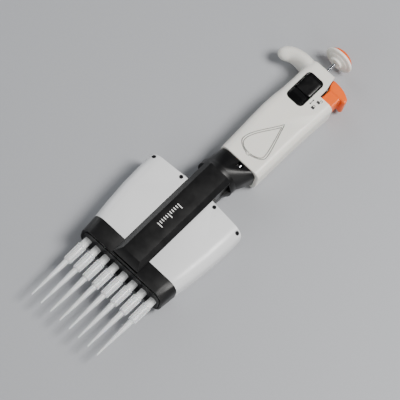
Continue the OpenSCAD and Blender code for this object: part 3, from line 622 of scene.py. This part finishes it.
def soft_valley():
    """A very shallow hollow that runs from the badge's point up to the palm side."""
    heading = math.atan2(20, 15.6)
    valley = start("cylinder", vertices=360, radius=50, depth=42, rotation=(0, math.radians(90), 0))
    valley.rotation_euler = (0, math.radians(0.6), heading)
    valley.location = (18.5, 177.5, FRONT + 49.72)
    only(valley)
    bpy.ops.object.transform_apply(location=True, rotation=True, scale=True)
    return valley


def teardrop(ring, radius=0.42, height=0.0):
    """One of the two lines that frame the blank badge area on the grip's front: the cutter of its groove
    or, with a smaller radius, the grey painted shade that lies in it."""
    inset = 1.7 * ring
    clear_selection()
    bpy.ops.curve.primitive_bezier_circle_add(radius=1, location=(0, 0, 0))
    line = bpy.context.object
    line.data.dimensions = "3D"
    points = line.data.splines[0].bezier_points
    shape = [((8.4, 163.9 - 1.9 * inset), "VECTOR", None),
             ((-6 + inset, 134.7), "FREE", (0.35, 8.0)),
             ((4.9, 126.4 + inset), "FREE", (6.5 - inset, 0.0)),
             ((16.5 - inset, 134.4), "FREE", (0.6, -7.0))]
    for point, (place, kind, reach) in zip(points, shape):
        point.handle_left_type = point.handle_right_type = kind
        point.co = (place[0], place[1], FRONT + height)
    for point, (place, kind, reach) in zip(points, shape):
        if reach:
            point.handle_left = (place[0] + reach[0], place[1] + reach[1], FRONT + height)
            point.handle_right = (place[0] - reach[0], place[1] - reach[1], FRONT + height)
    line.data.resolution_u = 20
    line.data.bevel_depth = radius
    line.data.bevel_resolution = 2
    bpy.ops.object.convert(target="MESH")
    groove = bpy.context.object
    tidy_normals(groove)
    return groove


HANDLE_SCREWS = []
for group in ((17, HANDLE_Y + 9, BACK), (18.5, HANDLE_Y + 30, BACK), (-20.5, HANDLE_TOP - 4.6, -9)):
    HANDLE_SCREWS.append(Vector(group))
handle_shells()


# ---------------------------------------------------------------- window, lens and lock slide

def window_pieces():
    """The black rim, the smoked lens with its crowned face, and the ribbed lock slide under it."""
    x0, x1, y0, y1 = WINDOW_LO.x, WINDOW_HI.x, WINDOW_LO.y, WINDOW_HI.y
    rim = prism(rounded_outline(x0, x1, y0, y1, 3.6, 8), WINDOW_LO.z, WINDOW_HI.z)
    combine(rim, prism(rounded_outline(x0 + 1.1, x1 - 1.1, y0 + 1.1, y1 - 1.1, 2.6, 8), WINDOW_LO.z - 1,
                       WINDOW_HI.z + 1))
    bevel(rim, lambda e: all(v.co.z > WINDOW_HI.z - 0.02 for v in e.verts)
        and abs(mid(e).z - WINDOW_HI.z) < 0.02
          and len(e.link_faces) == 2 and min(f.normal.z for f in e.link_faces) < 0.5, 0.3, 3)
    place_piece(rim, "window_rim", "handle", "black_gloss", ["window_bezel"])

    lens = prism(rounded_outline(LENS_LO.x, LENS_HI.x, LENS_LO.y, LENS_HI.y, 2.5, 8), LENS_LO.z,
                 LENS_HI.z - 0.35)
    edit(lens, "FACE")
    pick(lens, "faces", lambda f: f.normal.z > 0.9)
    for inward, rise in ((0.5, 0.18), (0.8, 0.12), (0.8, 0.05)):
        bpy.ops.mesh.inset(thickness=inward, depth=rise)
    leave()
    place_piece(lens, "window_lens_smoked", "handle", "window_lens", ["counter_window"], smooth=50)

    base = SLIDE_HI.z - 0.9
    slide = prism(rounded_outline(SLIDE_LO.x, SLIDE_HI.x, SLIDE_LO.y, SLIDE_HI.y, 1.4, 6), SLIDE_LO.z, base)
    combine(slide, prism(rounded_outline(SLIDE_LO.x - 2, SLIDE_HI.x + 2, SLIDE_LO.y - 2, SLIDE_LO.y + 1,
                                         0.4, 4), SLIDE_LO.z - 1, base - 0.5))
    for step in range(5):
        tall = 0.9 if step < 3 else 0.02
        y = SLIDE_LO.y + 1.3 + 1.6 * step
        rib = start("cube", size=1, location=(0, y + 0.4, base + tall / 2 - 0.25),
                    scale=(SLIDE_HI.x - SLIDE_LO.x - 1.8, 0.8, tall + 0.5))
        bevel(rib, lambda e: mid(e).z > base + tall - 0.02, 0.2 if step < 3 else 0.01, 2)
        combine(slide, rib, "UNION")
    place_piece(slide, "lock_slide_ribbed", "lock", "black_gloss", ["lock_slide"])


# ---------------------------------------------------------------- button and ejector

def button_pieces():
    """The cream button, a turned cup with a stepped underside, and the orange dome set in it."""
    foot = BUTTON_LO.y
    cup = lathe([(1.3, foot), (4.3, foot), (4.75, foot + 0.35), (4.95, foot + 1.0), (5.1, foot + 1.6),
                 (5.6, foot + 2.0),
                 (7.7, foot + 2.3), (8.2, foot + 2.6), (8.5, foot + 3.0), (9.0, foot + 3.15),
                 (10.9, foot + 3.4),
                 (11.5, foot + 3.7), (11.85, foot + 4.15), (11.88, foot + 4.6), (11.7, foot + 5.1),
                 (11.3, foot + 5.55),
                 (10.75, foot + 5.8), (10.5, foot + 5.6), (10.42, foot + 4.8), (1.3, foot + 4.8),
                 (1.3, foot)], 80)
    place_piece(cup, "button_cup", "dial", "button_white", ["thumb_button"], smooth=50)
    rise = CAP_HI.y - CAP_LO.y - 0.9
    arc = [(10.25 * math.cos(math.radians(a)), CAP_LO.y + 0.9
        + rise * math.sin(math.radians(a))) for a in range(0, 90, 9)]
    dome = lathe([(0, CAP_LO.y), (10.25, CAP_LO.y)] + arc + [(0, CAP_HI.y)], 80)
    place_piece(dome, "button_dome", "dial", "orange_plastic", ["button_cap"], smooth=50)


def ejector_piece():
    """The orange thumb pad with its stalk, and the hole in the stalk for the ejector's rod."""
    top, pad = HANDLE_TOP, SHOULDER + 10.5
    half = 8.9
    thumb = prism([(9.4, top - 3.4), (9.8, top - 6.2), (10.4, top - 8.4), (12.2, pad), (23.6, pad),
                   (25.4, pad - 0.5),
                   (26.7, pad - 0.55), (27.6, pad + 0.3), (27.9, pad + 1.4), (27.6, pad + 2.7),
                   (26.4, pad + 4.3), (24.6, top - 6.1),
                   (22.6, top - 5.0), (20.2, top - 4.1), (17.4, top - 3.5), (14, top - 3.1),
                   (10.6, top - 3.0)], -half, half)
    bevel(thumb, lambda e: abs(abs(mid(e).z) - half) < 0.05
        and len({round(v.co.z) for v in e.verts}) == 1, 1.5, 4)
    stalk = start("cube", size=1, location=(17.7, (SHOULDER - 0.5 + pad + 1) / 2, 0),
                  scale=(10.8, pad - SHOULDER + 1.5, 16))
    bevel(stalk, lambda e: len({round(v.co.y, 1) for v in e.verts}) == 2, 1.2, 4)
    combine(thumb, stalk, "UNION")
    modify(thumb, "REMESH", mode="VOXEL", voxel_size=0.36)
    modify(thumb, "SMOOTH", factor=0.5, iterations=5)
    combine(thumb, start("cylinder", vertices=24, radius=1.14, depth=9, location=(16, SHOULDER + 1.4, -1),
                         rotation=(math.pi / 2, 0, 0)))
    place_piece(thumb, "ejector_thumb_pad", "ejector", "orange_plastic", ["ejector_button"], smooth=45)


# ---------------------------------------------------------------- lower unit

def lower_unit():
    """The swivelling unit's mouldings and the neck, with their edges rounded as a mould leaves them."""
    for name, body, slot, width in (
            ("column_front", "module", "black_plastic", 0.7),
            ("column_back", "module", "black_plastic", 0.5),
            ("base_housing", "module", "black_plastic", 0.45),
            ("swivel_ring", "module", "black_plastic", 0.5),
            ("neck_adapter", "handle", "black_plastic", 0.5),
            ("ejector_bar", "tip_pusher", "black_plastic", 0.25),
            ("left_cover_front", "module", "cover_plastic", 0.75),
            ("left_cover_back", "module", "cover_plastic", 0.75),
            ("right_cover_front", "module", "cover_plastic", 0.75),
            ("right_cover_back", "module", "cover_plastic", 0.75)):
        piece = softened(name, width)
        if name == "column_front":
            engrave_scale(piece)
        place_piece(piece, name + "_moulding", body, slot, [name])


# ---------------------------------------------------------------- nozzles and tips

def row_pieces():
    """Eight nozzles, and eight tips with ten ribs each round their tops."""
    x = TIP_X[0]
    nozzle_top = NOZZLE_HI.y
    seat = TIP_HI.y
    nozzle = lathe([(0.6, NOZZLE_LO.y), (2.3, NOZZLE_LO.y), (2.45, NOZZLE_LO.y + 0.2),
                    (2.6, NOZZLE_LO.y + 0.7), (2.7, seat),
                    (2.95, seat + 0.9), (3.0, seat + 1.1), (3.0, nozzle_top), (0.6, nozzle_top),
                    (0.6, NOZZLE_LO.y)], 40, (x, 0))
    rib = seat - 16.6
    low = TIP_LO.y
    tip = lathe([(2.78, seat), (3.45, seat), (3.68, seat - 0.25), (3.68, seat - 1.25), (3.5, seat - 1.5),
                 (3.22, seat - 1.75),
                 (3.08, seat - 9), (2.95, rib + 1.1), (2.7, rib + 0.5), (2.15, rib), (1.85, rib - 8.5),
                 (0.62, low + 0.25),
                 (0.56, low), (0.34, low), (1.3, rib - 8), (1.52, rib - 0.4), (2.2, rib + 2),
                 (2.52, seat - 6.6),
                 (2.78, seat - 5.6), (2.78, seat)], 40, (x, 0))
    edit(tip, "FACE")
    pick(tip, "faces", lambda f: rib + 1.1 < mid(f).y < seat - 1.75 and 2.7 < math.hypot(mid(f).x - x,
                                                                                         mid(f).z) < 3.3
         and f.normal.x * (mid(f).x - x) + f.normal.z * mid(f).z > 0
         and round((math.atan2(mid(f).z, mid(f).x - x) % math.tau) / math.tau * 40 - 0.5) % 4 == 0)
    bpy.ops.mesh.extrude_region_shrink_fatten(TRANSFORM_OT_shrink_fatten={"value": 0.42})
    leave()
    for index, place in enumerate(TIP_X):
        for form, name, body, slot, node in ((nozzle, "nozzle_collar_", "module", "nozzle_plastic",
                                              "nozzle_"),
                                             (tip, "tip_shell_", "tips", "tip_plastic", "tip_")):
            piece = copy_of(form)
            piece.data.transform(Matrix.Translation((place - x, 0, 0)))
            place_piece(piece, f"{name}{index + 1}", body, slot, [f"{node}{index + 1}"], smooth=30)
    for form in (nozzle, tip):
        bpy.data.objects.remove(form)


# ---------------------------------------------------------------- printed marks and painted groove shade

def ink_and_painted_shade(name, tone, shade, rough):
    """Pad-printed ink for the marks, and grey painted shade for the badge's grooves: a thin dull film,
    slightly uneven where the pad lifted.
    """
    return moulded(name, tone, shade, rough, 0.35, 0.004)


# Black ink of the lock's marks
INK_BLACK = ink_and_painted_shade("pad_printed_ink_black", "#17171A", "#202024", 0.5)
# Grey painted shade laid into the badge's grooves, darkening them as the shade in a groove would
GROOVE_PAINTED_SHADE = ink_and_painted_shade("painted_groove_shade_grey", "#6E6E6C", "#7A7A77", 0.6)
# White ink of the scale on the column
INK_WHITE = ink_and_painted_shade("pad_printed_ink_white", "#F4F4F2", "#E6E6E4", 0.5)


def padlock(x, y, open_side):
    """A small padlock mark: its body, and a shackle that is shut or lifted to one side."""
    body = prism(rounded_outline(x - 1.35, x + 1.35, y - 1.1, y + 0.9, 0.3, 3), MARK_FLOOR, MARK_TOP)
    sx, sy = x + (1.1 if open_side else 0), y + (1.5 if open_side else 0.9)
    angles = [math.radians(a) for a in range(0, 181, 20)]
    outer = [(sx + 1.0 * math.cos(a), sy + 0.5 + 1.0 * math.sin(a)) for a in angles]
    inner = [(sx + 0.55 * math.cos(a), sy + 0.5 + 0.55 * math.sin(a)) for a in reversed(angles)]
    left_foot = [(sx - 1.0, sy - 0.3), (sx - 0.55, sy - 0.3)]
    right_foot = [(sx + 0.55, sy - 0.3), (sx + 1.0, sy - 0.3)]
    arch = outer + left_foot + inner + right_foot
    combine(body, prism(arch, MARK_FLOOR, MARK_TOP), "UNION")
    return body


def printed_marks():
    """The lock's marks beside the window, and the grey painted shade in the badge's grooves."""
    arrow = prism([(10.3, 189.2), (11.15, 190.4), (10.52, 190.4), (10.52, 193.2), (11.15, 193.2),
                   (10.3, 194.4), (9.45, 193.2),
                   (10.08, 193.2), (10.08, 190.4), (9.45, 190.4)], MARK_FLOOR, MARK_TOP)
    for mark, name in ((arrow, "printed_double_arrow"), (padlock(14.0, 194.9, True), "printed_open_lock"),
                       (padlock(13.8, 188.8, False), "printed_shut_lock")):
        place_piece(mark, name, "handle", "black_gloss", (), INK_BLACK)
    # The badge's two grooves get a thin grey line of painted shade, to darken them.
    for ring in (0, 1):
        place_piece(teardrop(ring, 0.24, -0.3), f"badge_groove_painted_shade_{ring + 1}", "handle", "dark_plastic", (),
                    GROOVE_PAINTED_SHADE)


def engrave_scale(column):
    """A plain scale of eleven ticks, inlaid in the column's front."""
    face = COLUMN_HI.z
    ticks, first_y, pitch = 11, 38.6, 2.1
    for step in range(ticks):
        y = first_y + pitch * step
        tick = prism(rounded_outline(-3.4, 1.4 if step % 5 == 0 else -0.9, y - 0.34, y + 0.34, 0.15, 2),
                     face - 0.2, face - 0.004)
        pocket = copy_of(tick)
        pocket.data.transform(Matrix.Translation((0, 0, 0.1)))
        combine(column, pocket)
        place_piece(tick, f"printed_tick_{step + 1}", "module", "cover_plastic", (), INK_WHITE)


window_pieces()
button_pieces()
ejector_piece()
lower_unit()
row_pieces()
printed_marks()

# ---------------------------------------------------------------- floor, light and background

def make_floor():
    """A pale matte sheet of card under the pipette, with a faint tooth."""
    floor = start("plane", size=6, location=(0, 0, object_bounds()[0][2] - 0.0002))
    edit(floor, "FACE")
    bpy.ops.mesh.select_all(action="SELECT")
    bpy.ops.mesh.subdivide(number_cuts=3)
    leave()
    floor.name = "floor"
    card = bpy.data.materials.new("pale_matte_card")
    card.use_nodes = True
    tree = card.node_tree
    shader = tree.nodes["Principled BSDF"]
    place = add_node(tree, "ShaderNodeTexCoord").outputs["Object"]
    tooth = add_node(tree, "ShaderNodeTexNoise", Vector=place, Scale=1 / (1.5 * MM), Detail=3.0)
    tint = add_node(tree, "ShaderNodeMix", {"data_type": "RGBA"}, Factor=tooth.outputs["Fac"])
    tint.inputs[6].default_value = linear("#A6A8AC")
    tint.inputs[7].default_value = linear("#A0A2A7")
    bump = add_node(tree, "ShaderNodeBump", Strength=0.15, Distance=0.02 * MM, Height=tooth.outputs["Fac"])
    tree.links.new(tint.outputs[2], shader.inputs["Base Color"])
    tree.links.new(bump.outputs["Normal"], shader.inputs["Normal"])
    shader.inputs["Roughness"].default_value = 0.55
    floor.data.materials.append(card)


def make_light():
    """One soft key from above, with weak softboxes low on three sides and a dim pale room."""
    area_light("key_softbox", (0.5, 0.35, 1.0), (0, 0, 0), 0.45, 0.45, 19, (1.0, 0.985, 0.96))
    area_light("left_softbox", (-0.9, 0.25, 0.32), (0, 0, 0), 0.4, 1.0, 4.5, (0.97, 0.985, 1.0))
    area_light("right_softbox", (0.9, -0.15, 0.32), (0, 0, 0), 0.4, 1.0, 2.5, (1.0, 0.99, 0.97))
    area_light("front_softbox", (-0.1, -0.95, 0.5), (0, 0, 0), 1.0, 0.3, 3.5, (1.0, 1.0, 1.0))
    room = bpy.data.worlds.new("studio")
    bpy.context.scene.world = room
    room.use_nodes = True
    sky = room.node_tree.nodes["Background"]
    sky.inputs["Color"].default_value = linear("#E8EBEF")
    sky.inputs["Strength"].default_value = 0.12


make_floor()
make_light()
